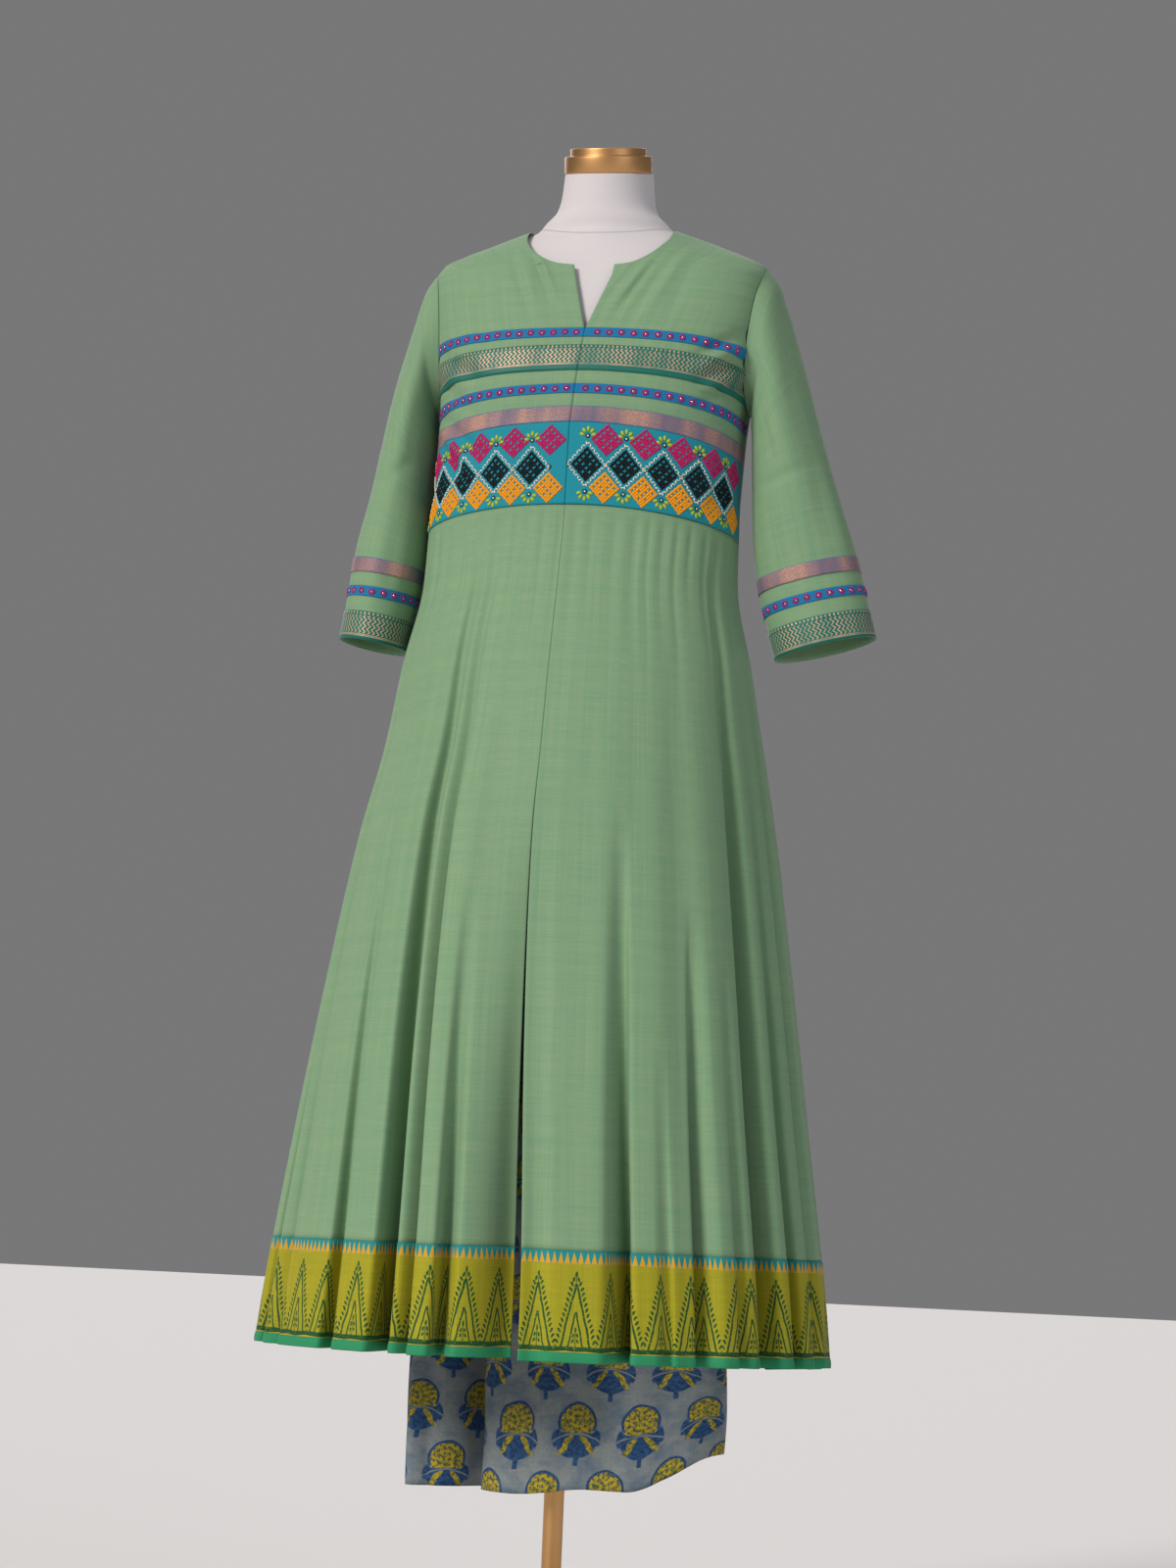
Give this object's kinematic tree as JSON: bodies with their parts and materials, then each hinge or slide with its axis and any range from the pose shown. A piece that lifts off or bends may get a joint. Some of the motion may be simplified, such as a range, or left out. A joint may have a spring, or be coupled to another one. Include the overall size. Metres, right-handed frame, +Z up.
{
  "type": "kurti with pants on dress form",
  "caption": "Flared empire-waist kurti with mirror ribbons, embroidered yoke and printed hem border, over straight printed pants, on a limbless dress form.",
  "frame": {"origin": "centre of the stand base's underside, on the pole's axis", "axes": "+Z up along the pole, -Y the garment's centre front, +X the viewer's right"},
  "size_m": [0.6571, 0.5421, 1.7054],
  "materials": {
    "green_cotton": "shot handloom cotton, matt",
    "mirror_ribbon": "blue ribbon with round mirrors",
    "green_zari": "woven band with metallic thread",
    "copper_zari": "woven band with copper thread",
    "embroidery": "hand embroidery on teal cotton",
    "hem_print": "block-printed cotton",
    "piping": "folded cotton edging",
    "indigo_print": "resist-printed cotton",
    "form_cover": "white jersey cover",
    "brass": "brushed",
    "stand_metal": "satin"
  },
  "bodies": {
    "root": {"bodice_front_left": "green_cotton", "bodice_front_right": "green_cotton", "bodice_back": "green_cotton", "sleeve_left": "green_cotton", "sleeve_right": "green_cotton", "skirt_front_left": "green_cotton", "skirt_front_right": "green_cotton", "skirt_back": "green_cotton", "ribbon_upper_left": "mirror_ribbon", "ribbon_upper_right": "mirror_ribbon", "ribbon_lower_left": "mirror_ribbon", "ribbon_lower_right": "mirror_ribbon", "cuff_ribbon_left": "mirror_ribbon", "cuff_ribbon_right": "mirror_ribbon", "zari_green_left": "green_zari", "zari_green_right": "green_zari", "cuff_zari_left": "green_zari", "cuff_zari_right": "green_zari", "zari_copper_left": "copper_zari", "zari_copper_right": "copper_zari", "cuff_copper_left": "copper_zari", "cuff_copper_right": "copper_zari", "yoke_band_left": "embroidery", "yoke_band_right": "embroidery", "hem_border_left": "hem_print", "hem_border_right": "hem_print", "hem_border_back": "hem_print", "hem_piping_left": "piping", "hem_piping_right": "piping", "hem_piping_back": "piping", "pants_waistband": "indigo_print", "pants_seat": "indigo_print", "pants_leg_left": "indigo_print", "pants_leg_right": "indigo_print", "form_torso": "form_cover", "neck_cap": "brass", "stand_pole": "brass", "stand_hub": "stand_metal", "stand_base": "stand_metal"}
  },
  "joints": []
}
